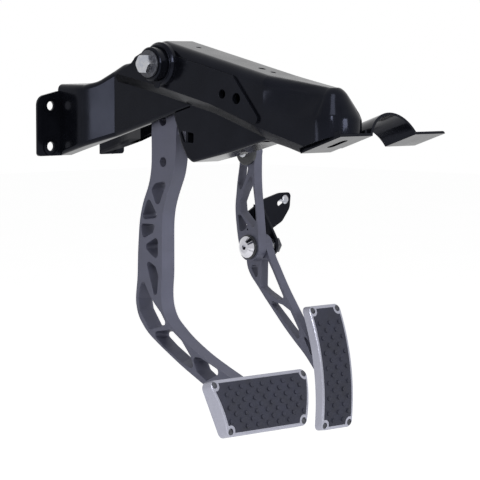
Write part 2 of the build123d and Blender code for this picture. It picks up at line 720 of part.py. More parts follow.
lower_end = lower_lever_x + lower_lever
lower_front = [
    (-86, -141), (-83, -156), (-84, -172), (-90, -183), (-102, -195), (-115, -209), (-132, -226),
    (-149, -243), (-166, -258), (-183, -272), (-224, -317)]
lower_back = [
    (-117, -147), (-122, -159), (-129, -170), (-137, -183), (-146, -197), (-154, -208), (-163, -220),
    (-180, -243), (-212, -280)]
throttle_lower_lever = slab(lower_lever_x, lower_end, flowing(lower_front, lower_back))
throttle_lower_lever += pin(throttle_y, throttle_z, lower_hub_radius, lower_lever_x, lower_end)
lower_windows = [
    [(-90.5, -172), (-102, -171), (-102, -189)],
    [(-110, -163), (-119, -163), (-127, -176), (-146, -206), (-137, -209), (-117, -199), (-110, -195)],
    [(-121, -211), (-146, -217), (-157, -223), (-170, -241), (-174, -257)],
    [(-179, -248), (-190, -257), (-197, -278)]]
for points in lower_windows:
    throttle_lower_lever -= slab(lower_lever_x - 5, lower_end + 5, eased(lever_window_corner, *points))
throttle_lower_lever -= pin(throttle_y, throttle_z, lever_bushing_radius, 150, 250)
lever_middle = lower_lever_x + lower_lever / 2
throttle_plane = pad_plane(lever_middle, throttle_pad_y, throttle_pad_z, throttle_pad_tilt)
throttle_mounts = (-76.0, -87.5)
throttle_lower_lever = cut_for_pad(throttle_lower_lever, throttle_plane, throttle_pad_seat,
                                   throttle_mounts, throttle_grip)
throttle_pad = pad_pieces(throttle_plane, throttle_pad_top, throttle_pad_bottom, throttle_pad_length,
                          throttle_pad_thick, throttle_pad_crown, throttle_mounts,
                          throttle_pad_crown - 0.5, throttle_pad_seat, throttle_grip)
throttle_pad_frame, throttle_pad_rubber, throttle_pad_screws, throttle_pad_mount_screws = throttle_pad

# Lever bushing through both hubs, and the flanged cable bushing with its stud
throttle_bushing = tube(throttle_y, throttle_z, lever_bushing_radius, shaft_radius + running_gap,
                        upper_lever_x, lower_end)
cable_bushing = pin(eye_y, eye_z, eye_bore, upper_lever_x, upper_end)
eye_disc_piece = pin(eye_y, eye_z, eye_disc_radius, upper_lever_x - eye_disc, upper_lever_x)
cable_bushing += chamfer(eye_disc_piece.edges().sort_by(Axis.X)[0], 1.0)
cable_bushing -= pin(eye_y, eye_z, stud_shank + thread_gap, 150, 250)
stud_start = upper_lever_x - eye_disc
cable_stud = pin(eye_y, eye_z, stud_head_radius, stud_start - stud_head, stud_start)
cable_stud = chamfer(cable_stud.edges().sort_by(Axis.X)[0], 0.8)
cable_stud += pin(eye_y, eye_z, stud_shank, stud_start, upper_end + stud_shoulder)
cable_stud += pin(eye_y, eye_z, stud_radius, stud_start, upper_end + stud_shoulder + stud_reach)
cable_stud = chamfer(cable_stud.edges().sort_by(Axis.X)[-1], 0.8)

# Throttle pivot bolt with its conical button, washer, spacer and nut
cap_back_x = upper_lever_x - cap_washer
profile = outline((cap_face_x, 0), (cap_face_x, cap_face_radius), (cap_rim_x, cap_radius),
                  (cap_back_x, cap_radius), (cap_back_x, 0))
turn = Plane(origin=(0, throttle_y, throttle_z), x_dir=(1, 0, 0), z_dir=(0, -1, 0))
button = revolve(turn * profile, Axis((0, throttle_y, throttle_z), (1, 0, 0)), 360)
socket = hexagon(throttle_y, throttle_z, cap_socket, cap_face_x - 1, cap_face_x + cap_socket_depth)
ear_end = ear_x + sheet + 1.0
shaft_end = ear_end + shaft_nut + 2.5
throttle_pivot_bolt = button - socket
throttle_pivot_bolt += pin(throttle_y, throttle_z, shaft_radius, cap_back_x - 0.5, shaft_end)
shaft_room = shaft_radius + thread_gap
throttle_pivot_washer = tube(throttle_y, throttle_z, cap_washer_radius, shaft_room,
                             cap_back_x, upper_lever_x)
throttle_spacer = tube(throttle_y, throttle_z, spacer_radius, shaft_room, lower_end + side_gap, ear_x)
throttle_pivot_nut = hexagon(throttle_y, throttle_z, shaft_nut_across, ear_end, ear_end + shaft_nut)
throttle_pivot_nut -= pin(throttle_y, throttle_z, shaft_room, 180, 260)

# Leaf-shaped bracket with its ear
leaf_plane = Plane(origin=(0, leaf_rear_y, 0), x_dir=(1, 0, 0), z_dir=(0, -1, 0))
leaf = extrude(leaf_plane * outline(
    (193, -113, 10), (231, -93, 30), (257, -86.5, 30), (277, -86.5, 5), (275, -106, 14), (262, -122, 14),
    (243, -131, 8), (234, -146, 10), (229, -163, 8), (207.5, -163, 4), (207.5, -138, 4), (190, -134, 8)),
    -sheet)
ear = slab(ear_x, ear_end, outline(
    (leaf_rear_y + 1.0, -99), (-88, -101, 8), (throttle_y - ear_radius + 1.5, -140, 12),
    (throttle_y - ear_radius, throttle_z - ear_radius, 12),
    (leaf_rear_y + 1.0, -160.5)))
leaf += ear
leaf -= pin(throttle_y, throttle_z, shaft_radius + boss_bore_clearance, 200, 260)
leaf_slots = [(leaf_slot_x, leaf_slot_z), (leaf_second_x, leaf_second_z)]
screws = []
for x, z in leaf_slots:
    place = leaf_plane * Pos(x, z) * Rot(0, 0, leaf_slot_angle)
    leaf -= place * extrude(SlotOverall(leaf_slot_length, leaf_slot_width), -10)
    shift = Pos(leaf_slot_length / 5, 0, 0)
    head = extrude(Circle(leaf_screw_head), leaf_screw_head_height)
    head = chamfer(head.edges().sort_by(Axis.Z)[-1], 1.8)
    head += extrude(Circle(leaf_screw_radius), -leaf_screw_reach)
    screws.append(place * shift * head)
throttle_bracket = leaf
throttle_bracket_screws = group(*screws)


# One file for each node
nodes = {
    "main_channel": main_channel,
    "left_side_plate": left_side_plate,
    "right_side_plate": right_side_plate,
    "left_boss_plate": left_boss_plate,
    "right_boss_plate": right_boss_plate,
    "lower_box": lower_box,
    "column_saddle": column_saddle,
    "stop_bumper": stop_bumper,
    "pivot_bolt": pivot_bolt,
    "pivot_nut": pivot_nut,
    "pivot_washers": pivot_washers,
    "pivot_retainers": pivot_retainers,
    "pivot_sleeve": pivot_sleeve,
    "brake_arm": brake_arm,
    "pivot_bushings": pivot_bushings,
    "brake_pad_frame": brake_pad_frame,
    "brake_pad_rubber": brake_pad_rubber,
    "brake_pad_screws": brake_pad_screws,
    "brake_pad_mount_screws": brake_pad_mount_screws,
    "throttle_bracket": throttle_bracket,
    "throttle_bracket_screws": throttle_bracket_screws,
    "throttle_pivot_bolt": throttle_pivot_bolt,
    "throttle_pivot_washer": throttle_pivot_washer,
    "throttle_spacer": throttle_spacer,
    "throttle_pivot_nut": throttle_pivot_nut,
    "throttle_upper_lever": throttle_upper_lever,
    "throttle_lower_lever": throttle_lower_lever,
    "throttle_bushing": throttle_bushing,
    "cable_bushing": cable_bushing,
    "cable_stud": cable_stud,
    "throttle_pad_frame": throttle_pad_frame,
    "throttle_pad_rubber": throttle_pad_rubber,
    "throttle_pad_screws": throttle_pad_screws,
    "throttle_pad_mount_screws": throttle_pad_mount_screws,
}
os.makedirs("parts", exist_ok=True)
for name, piece in nodes.items():
    export_step(piece, "parts/" + name + ".step")
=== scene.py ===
import json
from collections import Counter
from math import cos, radians, sin, tau

import bmesh
import bpy
from bpy.props import FloatProperty, FloatVectorProperty, IntProperty, PointerProperty
from mathutils import Matrix, Vector
from mathutils.bvhtree import BVHTree


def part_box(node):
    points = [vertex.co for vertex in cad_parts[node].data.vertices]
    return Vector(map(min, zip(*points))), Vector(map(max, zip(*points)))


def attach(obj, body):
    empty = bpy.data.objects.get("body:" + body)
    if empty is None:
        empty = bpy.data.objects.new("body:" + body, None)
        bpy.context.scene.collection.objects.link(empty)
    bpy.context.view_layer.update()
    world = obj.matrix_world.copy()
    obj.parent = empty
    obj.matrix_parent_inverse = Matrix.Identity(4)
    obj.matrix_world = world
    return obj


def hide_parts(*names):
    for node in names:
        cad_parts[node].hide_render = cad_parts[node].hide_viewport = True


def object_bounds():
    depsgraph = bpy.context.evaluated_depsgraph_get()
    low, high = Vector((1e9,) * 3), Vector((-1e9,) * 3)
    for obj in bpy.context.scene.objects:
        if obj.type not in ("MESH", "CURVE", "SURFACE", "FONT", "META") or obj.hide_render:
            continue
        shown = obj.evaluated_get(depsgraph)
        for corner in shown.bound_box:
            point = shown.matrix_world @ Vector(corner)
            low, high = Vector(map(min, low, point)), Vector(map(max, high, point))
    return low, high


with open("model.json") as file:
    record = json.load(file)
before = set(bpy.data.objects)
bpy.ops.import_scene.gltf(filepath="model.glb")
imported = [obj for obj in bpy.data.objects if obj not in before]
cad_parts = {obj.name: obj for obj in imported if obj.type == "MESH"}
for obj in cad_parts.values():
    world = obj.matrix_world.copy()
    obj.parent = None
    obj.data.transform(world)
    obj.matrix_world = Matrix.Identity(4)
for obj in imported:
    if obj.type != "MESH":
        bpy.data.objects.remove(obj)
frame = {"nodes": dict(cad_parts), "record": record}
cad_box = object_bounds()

bl_info = {
    "name": "Hanging pedal set",
    "version": (1, 0, 0),
    "blender": (4, 5, 0),
    "location": "View3D > Sidebar > Pedals",
    "description": "Dresses a hanging brake and throttle pedal set: hanger, arms, pads and stage",
    "category": "Object",
}

# Lengths are metres along the frame's axes: +X right of the vehicle, +Y forward, +Z up

# Bodies of the frame that the pieces ride on
HANGER = "hanger"
BRAKE = "brake_pedal"
THROTTLE = "throttle_pedal"


# Settings

class PedalFinishes(bpy.types.PropertyGroup):
    """Colours and surface qualities of the pedal set's finishes."""
    paint: FloatVectorProperty(
        name="Hanger paint", description="Base colour of the gloss black paint",
        default=(0.0042, 0.0046, 0.0066), size=3, min=0.0, max=1.0, subtype="COLOR")
    paint_roughness: FloatProperty(
        name="Paint roughness", description="Roughness of the paint's gloss",
        default=0.15, min=0.0, max=1.0, subtype="FACTOR")
    paint_reflection: FloatProperty(
        name="Paint reflection", description="Strength of the paint's reflections",
        default=0.11, min=0.0, max=1.0, subtype="FACTOR")
    arm: FloatVectorProperty(
        name="Arm grey", description="Base colour of the bead-blasted arms and levers",
        default=(0.085, 0.088, 0.126), size=3, min=0.0, max=1.0, subtype="COLOR")
    arm_roughness: FloatProperty(
        name="Arm roughness", description="Roughness of the bead-blasted arms",
        default=0.52, min=0.0, max=1.0, subtype="FACTOR")
    rim: FloatVectorProperty(
        name="Pad rim silver", description="Base colour of the brushed pad frames",
        default=(0.34, 0.345, 0.41), size=3, min=0.0, max=1.0, subtype="COLOR")
    rubber: FloatVectorProperty(
        name="Rubber black", description="Base colour of the pad rubbers",
        default=(0.023, 0.0245, 0.038), size=3, min=0.0, max=1.0, subtype="COLOR")
    zinc: FloatVectorProperty(
        name="Zinc", description="Base colour of the plated bolts and nuts",
        default=(0.44, 0.46, 0.52), size=3, min=0.0, max=1.0, subtype="COLOR")
    chrome: FloatVectorProperty(
        name="Chrome", description="Base colour of the polished pivot button",
        default=(0.52, 0.52, 0.56), size=3, min=0.0, max=1.0, subtype="COLOR")
    black_oxide: FloatVectorProperty(
        name="Black oxide", description="Base colour of the blackened screws",
        default=(0.045, 0.047, 0.058), size=3, min=0.0, max=1.0, subtype="COLOR")
    plastic: FloatVectorProperty(
        name="Black plastic", description="Base colour of the bushing disc and the washer",
        default=(0.016, 0.017, 0.021), size=3, min=0.0, max=1.0, subtype="COLOR")
    bronze: FloatVectorProperty(
        name="Bronze", description="Base colour of the bushings",
        default=(0.5, 0.34, 0.17), size=3, min=0.0, max=1.0, subtype="COLOR")


class PedalEdges(bpy.types.PropertyGroup):
    """Widths of the rounded edges that the scene adds to the CAD forms."""
    sheet: FloatProperty(
        name="Sheet edge", description="Rounding of the painted sheet's cut edges",
        default=0.0008, min=0.0, unit="LENGTH")
    arm: FloatProperty(
        name="Arm edge", description="Rounding of the arms' machined edges",
        default=0.0006, min=0.0, unit="LENGTH")
    rim: FloatProperty(
        name="Rim edge", description="Rounding of the pad frames' and blackened pieces' edges",
        default=0.00035, min=0.0, unit="LENGTH")


class PedalTread(bpy.types.PropertyGroup):
    """Raised dots of the pad rubbers."""
    dot_radius: FloatProperty(
        name="Dot radius", description="Radius of one raised dot at its foot",
        default=0.0027, min=0.0, unit="LENGTH")
    dot_height: FloatProperty(
        name="Dot height", description="Height of one raised dot over the rubber",
        default=0.0019, min=0.0, unit="LENGTH")
    dot_sides: IntProperty(
        name="Dot sides", description="Number of sides of one raised dot", default=14, min=6)
    margin: FloatProperty(
        name="Margin", description="Smallest distance from a dot's edge to the rubber's edge",
        default=0.001, min=0.0, unit="LENGTH")
    brake_pitch: FloatProperty(
        name="Brake pitch", description="Distance between the dots of one row on the brake pad",
        default=0.0158, min=0.001, unit="LENGTH")
    brake_rows: FloatProperty(
        name="Brake rows", description="Distance between the rows of dots on the brake pad",
        default=0.0072, min=0.001, unit="LENGTH")
    brake_first_row: FloatProperty(
        name="Brake first row", description="Distance from the brake rubber's top to its first row",
        default=0.0065, min=0.0, unit="LENGTH")
    throttle_pitch: FloatProperty(
        name="Throttle pitch",
        description="Distance between the dots of one row on the throttle pad",
        default=0.0164, min=0.001, unit="LENGTH")
    throttle_rows: FloatProperty(
        name="Throttle rows", description="Distance between the rows of dots on the throttle pad",
        default=0.0088, min=0.001, unit="LENGTH")
    throttle_first_row: FloatProperty(
        name="Throttle first row",
        description="Distance from the throttle rubber's top to its first row",
        default=0.0176, min=0.0, unit="LENGTH")


class PedalStage(bpy.types.PropertyGroup):
    """Camera, lamps and floor."""
    camera_place: FloatVectorProperty(
        name="Camera", description="Place of the camera", default=(-1.714523, -2.046262, 0.072939),
        size=3, subtype="TRANSLATION", unit="LENGTH")
    camera_turn: FloatProperty(
        name="Camera turn", description="Direction of the camera's view, from +Y towards +X",
        default=radians(44.0), subtype="ANGLE", unit="ROTATION")
    camera_dip: FloatProperty(
        name="Camera dip", description="How far the camera's view points down",
        default=radians(4.47), subtype="ANGLE", unit="ROTATION")
    lens: FloatProperty(
        name="Lens", description="Focal length on a 36 mm wide sensor", default=169.8, min=1.0,
        unit="CAMERA")
    floor_drop: FloatProperty(
        name="Floor drop", description="Distance from the lowest pad down to the floor",
        default=0.25, min=0.0, unit="LENGTH")
    ambient: FloatProperty(
        name="Ambient", description="Strength of the even light from all round", default=0.26,
        min=0.0)
    key: FloatProperty(
        name="Key lamp", description="Power of the lamp where the driver's seat is",
        default=26.0, min=0.0, unit="POWER")
    side: FloatProperty(
        name="Side lamp", description="Power of the lamp that the left side plate mirrors",
        default=3.0, min=0.0, unit="POWER")
    streak: FloatProperty(
        name="Streak lamp", description="Power of the tall lamp that the nose mirrors",
        default=13.0, min=0.0, unit="POWER")
    top: FloatProperty(
        name="Top lamp", description="Power of the lamp over the hanger", default=5.0, min=0.0,
        unit="POWER")


# Finishes

GRAIN_DEPTH = 0.0001
PAINT_TINT = (0.64, 0.7, 1.0, 1.0)
RUBBER_SHEEN = 0.25
WARM_ZINC = (1.04, 1.0, 0.92)


def scaled(colour, factor):
    """A colour made lighter or darker."""
    return tuple(min(1.0, part * factor) for part in colour)


class Finish:
    """A procedural material with a Principled shader, and short ways to add its patterns."""

    def __init__(self, name, colour, metallic, roughness):
        self.material = bpy.data.materials.new(name)
        self.material.use_nodes = True
        self.material.diffuse_color = (*colour, 1.0)
        self.nodes = self.material.node_tree.nodes
        self.links = self.material.node_tree.links
        self.shader = self.nodes["Principled BSDF"]
        self.shader.inputs["Base Color"].default_value = (*colour, 1.0)
        self.shader.inputs["Metallic"].default_value = metallic
        self.shader.inputs["Roughness"].default_value = roughness
        self.place = self.nodes.new("ShaderNodeTexCoord").outputs["Object"]

    def noise(self, scale, detail=3.0, stretch=(1.0, 1.0, 1.0)):
        """Noise in the object's own metres, stretched along its axes where asked."""
        mapping = self.nodes.new("ShaderNodeMapping")
        mapping.inputs["Scale"].default_value = stretch
        noise = self.nodes.new("ShaderNodeTexNoise")
        noise.inputs["Scale"].default_value = scale
        noise.inputs["Detail"].default_value = detail
        self.links.new(self.place, mapping.inputs["Vector"])
        self.links.new(mapping.outputs["Vector"], noise.inputs["Vector"])
        return noise.outputs["Fac"]

    def specks(self, scale):
        """Distance to the nearest point of a random scatter, for grains and pits."""
        cells = self.nodes.new("ShaderNodeTexVoronoi")
        cells.inputs["Scale"].default_value = scale
        self.links.new(self.place, cells.inputs["Vector"])
        return cells.outputs["Distance"]

    def carried(self, value, between, values):
        """A value carried from one range to another."""
        carry = self.nodes.new("ShaderNodeMapRange")
        carry.inputs["From Min"].default_value, carry.inputs["From Max"].default_value = between
        carry.inputs["To Min"].default_value, carry.inputs["To Max"].default_value = values
        self.links.new(value, carry.inputs["Value"])
        return carry.outputs["Result"]

    def weighted(self, value, share, other):
        """A share of one value, added to another."""
        sum_node = self.nodes.new("ShaderNodeMath")
        sum_node.operation = "MULTIPLY_ADD"
        sum_node.inputs[1].default_value = share
        self.links.new(value, sum_node.inputs[0])
        self.links.new(other, sum_node.inputs[2])
        return sum_node.outputs["Value"]

    def colours(self, value, between, first, second):
        """Base colour that runs from the first colour to the second as the value rises."""
        ramp = self.nodes.new("ShaderNodeValToRGB")
        start, end = ramp.color_ramp.elements
        start.position, end.position = between
        start.color = (*first, 1.0)
        end.color = (*second, 1.0)
        self.links.new(value, ramp.inputs["Fac"])
        self.links.new(ramp.outputs["Color"], self.shader.inputs["Base Color"])

    def shades(self, value, between, colour, factors):
        """Base colour that runs from one shade of a colour to another as the value rises."""
        first, second = (scaled(colour, factor) for factor in factors)
        self.colours(value, between, first, second)

    def roughness(self, value, between, values):
        """Roughness that runs from one value to another as a pattern rises."""
        self.links.new(self.carried(value, between, values), self.shader.inputs["Roughness"])

    def relief(self, value, strength, depth=GRAIN_DEPTH):
        """Small relief that follows a pattern, added to any relief already there."""
        bump = self.nodes.new("ShaderNodeBump")
        bump.inputs["Strength"].default_value = strength
        bump.inputs["Distance"].default_value = depth
        self.links.new(value, bump.inputs["Height"])
        earlier = self.shader.inputs["Normal"].links
        if earlier:
            self.links.new(earlier[0].from_socket, bump.inputs["Normal"])
        self.links.new(bump.outputs["Normal"], self.shader.inputs["Normal"])


def hanger_paint(look):
    """Gloss black paint on pressed sheet: slight orange peel, faint ripples and uneven gloss."""
    gloss = look.paint_roughness
    finish = Finish("gloss_black_paint", look.paint, metallic=0.0, roughness=gloss)
    finish.shader.inputs["Specular IOR Level"].default_value = look.paint_reflection
    finish.shader.inputs["Specular Tint"].default_value = PAINT_TINT
    clouds = finish.noise(scale=28.0, detail=4.0)
    finish.shades(clouds, between=(0.35, 0.7), colour=look.paint, factors=(0.8, 1.35))
    finish.roughness(clouds, between=(0.3, 0.7), values=(gloss - 0.04, gloss + 0.07))
    finish.relief(finish.noise(scale=520.0, detail=2.0), strength=0.06, depth=0.0004)
    finish.relief(finish.noise(scale=38.0, detail=1.0), strength=0.12, depth=0.0012)
    return finish.material


def arm_grey(look):
    """Bead-blasted grey aluminium: fine even grain, slight mottling and a soft sheen."""
    sheen = look.arm_roughness
    finish = Finish("grey_anodised", look.arm, metallic=0.35, roughness=sheen)
    grain = finish.noise(scale=2400.0, detail=3.0)
    mottle = finish.noise(scale=55.0, detail=4.0)
    faint = finish.carried(mottle, between=(0.0, 1.0), values=(0.0, 0.55))
    both = finish.weighted(grain, share=0.45, other=faint)
    finish.shades(both, between=(0.3, 0.7), colour=look.arm, factors=(0.82, 1.2))
    finish.roughness(mottle, between=(0.3, 0.7), values=(sheen - 0.05, sheen + 0.08))
    finish.relief(grain, strength=0.3)
    finish.relief(finish.specks(scale=1500.0), strength=0.12)
    return finish.material


def brushed_rim(look):
    """Brushed aluminium with fine streaks along the pad and broader bands in its gloss."""
    finish = Finish("brushed_aluminium", look.rim, metallic=0.8, roughness=0.36)
    streaks = finish.noise(scale=1500.0, detail=3.0, stretch=(0.02, 1.0, 1.0))
    broad = finish.noise(scale=240.0, detail=2.0, stretch=(0.06, 1.0, 1.0))
    finish.shades(streaks, between=(0.3, 0.72), colour=look.rim, factors=(0.86, 1.12))
    finish.roughness(broad, between=(0.3, 0.7), values=(0.29, 0.44))
    finish.relief(streaks, strength=0.12)
    return finish.material


def pad_rubber(look):
    """Black moulded rubber: dull, faintly grainy, with a blue-grey bloom in places."""
    finish = Finish("black_rubber", look.rubber, metallic=0.0, roughness=0.62)
    finish.shader.inputs["Specular IOR Level"].default_value = RUBBER_SHEEN
    bloom = finish.noise(scale=70.0, detail=5.0)
    finish.shades(bloom, between=(0.3, 0.75), colour=look.rubber, factors=(0.8, 1.3))
    finish.roughness(bloom, between=(0.3, 0.7), values=(0.54, 0.72))
    finish.relief(finish.noise(scale=1700.0, detail=3.0), strength=0.25)
    return finish.material


def zinc_plate(look):
    """Bright zinc plating, a little uneven in tint and gloss."""
    finish = Finish("zinc_steel", look.zinc, metallic=1.0, roughness=0.25)
    clouds = finish.noise(scale=160.0, detail=4.0)
    warm = tuple(part * warmth for part, warmth in zip(look.zinc, WARM_ZINC))
    finish.colours(clouds, between=(0.35, 0.68), first=scaled(look.zinc, 0.86), second=warm)
    finish.roughness(clouds, between=(0.3, 0.7), values=(0.18, 0.34))
    finish.relief(finish.noise(scale=1300.0, detail=2.0), strength=0.08)
    return finish.material


def button_chrome(look):
    """Polished chrome with faint turning marks."""
    finish = Finish("polished_chrome", look.chrome, metallic=1.0, roughness=0.09)
    marks = finish.noise(scale=1800.0, detail=2.0, stretch=(1.0, 0.12, 0.12))
    finish.shades(marks, between=(0.3, 0.7), colour=look.chrome, factors=(0.94, 1.05))
    finish.roughness(marks, between=(0.3, 0.7), values=(0.06, 0.14))
    finish.relief(marks, strength=0.02)
    return finish.material


def screw_black(look):
    """Blackened steel of small screws, slightly oily."""
    finish = Finish("black_oxide_screws", look.black_oxide, metallic=0.3, roughness=0.35)
    patches = finish.noise(scale=420.0, detail=3.0)
    finish.shades(patches, between=(0.35, 0.7), colour=look.black_oxide, factors=(0.7, 1.6))
    finish.roughness(patches, between=(0.3, 0.7), values=(0.28, 0.46))
    finish.relief(patches, strength=0.05)
    return finish.material


def moulded_black(look):
    """Moulded black plastic with a fine grain."""
    finish = Finish("black_plastic", look.plastic, metallic=0.0, roughness=0.42)
    grain = finish.noise(scale=1400.0, detail=2.0)
    finish.shades(grain, between=(0.3, 0.7), colour=look.plastic, factors=(0.8, 1.25))
    finish.roughness(grain, between=(0.3, 0.7), values=(0.36, 0.5))
    finish.relief(grain, strength=0.12)
    return finish.material


def bushing_bronze(look):
    """Sintered bronze with fine pores."""
    finish = Finish("bronze", look.bronze, metallic=1.0, roughness=0.42)
    pores = finish.specks(scale=1600.0)
    finish.shades(pores, between=(0.05, 0.5), colour=look.bronze, factors=(0.7, 1.1))
    finish.roughness(pores, between=(0.0, 0.6), values=(0.55, 0.36))
    finish.relief(pores, strength=0.1)
    return finish.material


FINISHES = {
    "gloss_black_paint": hanger_paint,
    "grey_anodised": arm_grey,
    "brushed_aluminium": brushed_rim,
    "black_rubber": pad_rubber,
    "zinc_steel": zinc_plate,
    "polished_chrome": button_chrome,
    "black_oxide_screws": screw_black,
    "black_plastic": moulded_black,
    "bronze": bushing_bronze,
}


def finish_for(slot):
    """The material of a slot, made the first time that it is asked for."""
    made = bpy.data.materials.get(slot + "_look")
    if made is None:
        made = FINISHES[slot](bpy.context.scene.pedal_finishes)
        made.name = slot + "_look"
    return made


# Pieces

# Distances within which vertices are one, and angles that tell flat, sharp and smooth edges
MERGE_DISTANCE = 0.00002
CUT_DISTANCE = 0.00001
FLAT_BELOW = radians(0.4)
ROUNDED_ABOVE = radians(32.0)
SMOOTH_BELOW = radians(40.0)


def slot_of(node):
    """The record's material slot of a CAD node."""
    for part in frame["record"]["subparts"]:
        if part["node"] == node:
            return part["material_slot"]
    raise RuntimeError("the record has no node named " + node)


def dress(*nodes):
    """Carried CAD nodes get the finish of their slot."""
    for node in nodes:
        mesh = frame["nodes"][node].data
        mesh.materials.clear()
        mesh.materials.append(finish_for(slot_of(node)))


def merged_copy(node):
    """A bmesh of a CAD node with its loose triangles joined and its flat areas made whole."""
    form = bmesh.new()
    form.from_mesh(frame["nodes"][node].data)
    bmesh.ops.remove_doubles(form, verts=form.verts, dist=MERGE_DISTANCE)
    bmesh.ops.dissolve_limit(form, angle_limit=FLAT_BELOW, use_dissolve_boundaries=False,
                             verts=form.verts, edges=form.edges)
    return form


def close_seams(form):
    """What a change has drawn together made into one."""
    bmesh.ops.dissolve_degenerate(form, dist=MERGE_DISTANCE, edges=form.edges)
    bmesh.ops.remove_doubles(form, verts=form.verts, dist=MERGE_DISTANCE)


def round_edges(form, width):
    """The sharp edges of a form rounded by a small width."""
    sharp = [edge for edge in form.edges
             if len(edge.link_faces) == 2 and edge.calc_face_angle() > ROUNDED_ABOVE]
    bmesh.ops.bevel(form, geom=sharp, offset=width, offset_type="OFFSET", segments=2, profile=0.5,
                    affect="EDGES", clamp_overlap=True, material=-1)


def add_piece(form, name, body, slot, replaced):
    """A bmesh made into a piece on a body, with a slot's finish, in place of CAD nodes."""
    mesh = bpy.data.meshes.new(name)
    form.normal_update()
    form.to_mesh(mesh)
    form.free()
    piece = bpy.data.objects.new(name, mesh)
    bpy.context.scene.collection.objects.link(piece)
    mesh.materials.append(finish_for(slot))
    mesh.shade_smooth()
    mesh.set_sharp_from_angle(angle=SMOOTH_BELOW)
    even = piece.modifiers.new("Even shading", "WEIGHTED_NORMAL")
    even.keep_sharp = True
    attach(piece, body)
    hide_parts(*replaced)


def rounded_piece(node, name, body, slot, width, changes=()):
    """A CAD node's form with its changes made and its edges rounded, standing for the node."""
    form = merged_copy(node)
    for change in changes:
        change(form)
    round_edges(form, width)
    add_piece(form, name, body, slot, (node,))


# Hanger

BRAKE_PIVOT = next(Vector(joint["pos_m"]) for joint in frame["record"]["behaviour"]["joints"]
                   if joint["name"] == "brake_pivot")

# The channel's front end: two points of the slant that cuts it off
FRONT_CUT = (Vector((0.0, -0.093, 0.0632)), Vector((0.0, -0.172, 0.0965)))

# The channel's nose: the centre of its rounding and the run before it, the heights between which
# it is drawn in, and how far and how fast
NOSE_CENTRE_Y = -0.411
NOSE_BLEND = 0.076
NOSE_FOOT = 0.018
NOSE_HEIGHT = 0.0284
NOSE_SLIMMING = 0.36
NOSE_CURVE = 1.3

# The channel's lower rim: its height at the saddle's rear edge and its slant before that, the
# band above it that moves too, and where and how far it comes down
SADDLE_REAR = -0.441
RIM_REAR_Z = 0.0086
RIM_SLOPE = 0.32
RIM_BAND = 0.0035
RIM_START = -0.36
RIM_RUN = 0.03
RIM_DROP = 0.0084

# The side plates' top edge: the middle, half length and height of its rise, and the least
# height of what moves
RISE_CENTRE = -0.085
RISE_REACH = 0.045
RISE = 0.0058
TOP_EDGE = 0.035

# The side plates' front fold: its place, half the bend's length and the walls' slope behind it
FOLD = -0.043
FOLD_REACH = 0.014
FOLD_SLOPE = 12 / 44
FOLD_STEPS = 8

# The right plate's lower edge: its height at Y = 0, its slant and the band above it, the walls
# of the wing and of the panel behind it, and how deep it goes before it fades out
PLATE_BOTTOM = -0.0345
PLATE_SLOPE = 0.277
PLATE_BAND = 0.012
WING_WALL = 0.03
PANEL_WALL = 0.018
PANEL_START = -0.087
PLATE_DEPTH = 0.0068
PLATE_FADE = -0.14
PLATE_END = -0.19

# The right boss: where it starts to be drawn in along X and outward, its bore, and its share left
FAR_BOSS_X = 0.0305
FAR_BOSS_REACH = 0.028
BOSS_BORE = 0.01
FAR_BOSS_SHARE = 0.45

# The saddle's feet: their tilt and the thickness of their sheet
SADDLE_TILT = radians(18.0)
SADDLE_SHEET = 0.003


def cut_front(form):
    """The channel's front end cut off along a straight slant, and closed again."""
    first, second = FRONT_CUT
    outward = Vector((1.0, 0.0, 0.0)).cross(first - second).normalized()
    cut = bmesh.ops.bisect_plane(form, geom=[*form.verts, *form.edges, *form.faces],
                                 plane_co=first, plane_no=outward, clear_outer=True)
    rim = [part for part in cut["geom_cut"] if isinstance(part, bmesh.types.BMEdge)]
    bmesh.ops.holes_fill(form, edges=rim)
    bmesh.ops.recalc_face_normals(form, faces=form.faces)


def slim_nose(form):
    """The channel's rounded rear end drawn in towards its top, and its walls with it."""
    for vertex in form.verts:
        climb = (vertex.co.z - NOSE_FOOT) / NOSE_HEIGHT
        blend = (NOSE_CENTRE_Y + NOSE_BLEND - vertex.co.y) / NOSE_BLEND
        if climb <= 0.0 or blend <= 0.0:
            continue
        scale = 1.0 - NOSE_SLIMMING * min(1.0, climb) ** NOSE_CURVE * min(1.0, blend)
        vertex.co.x *= scale
        if blend > 1.0:
            vertex.co.y = NOSE_CENTRE_Y + (vertex.co.y - NOSE_CENTRE_Y) * scale


def seat_nose(form):
    """The channel's lower rim drawn down at its rear, on to the saddle's foot."""
    for vertex in form.verts:
        rim = RIM_REAR_Z - RIM_SLOPE * (vertex.co.y - SADDLE_REAR)
        share = min(1.0, max(0.0, (RIM_START - vertex.co.y) / RIM_RUN))
        if vertex.co.z < rim + RIM_BAND:
            vertex.co.z -= RIM_DROP * share


def raise_top(form):
    """The side plate's top edge raised where it climbs to the channel."""
    for vertex in form.verts:
        share = 1.0 - ((vertex.co.y - RISE_CENTRE) / RISE_REACH) ** 2
        if vertex.co.z > TOP_EDGE and share > 0.0:
            vertex.co.z += RISE * share


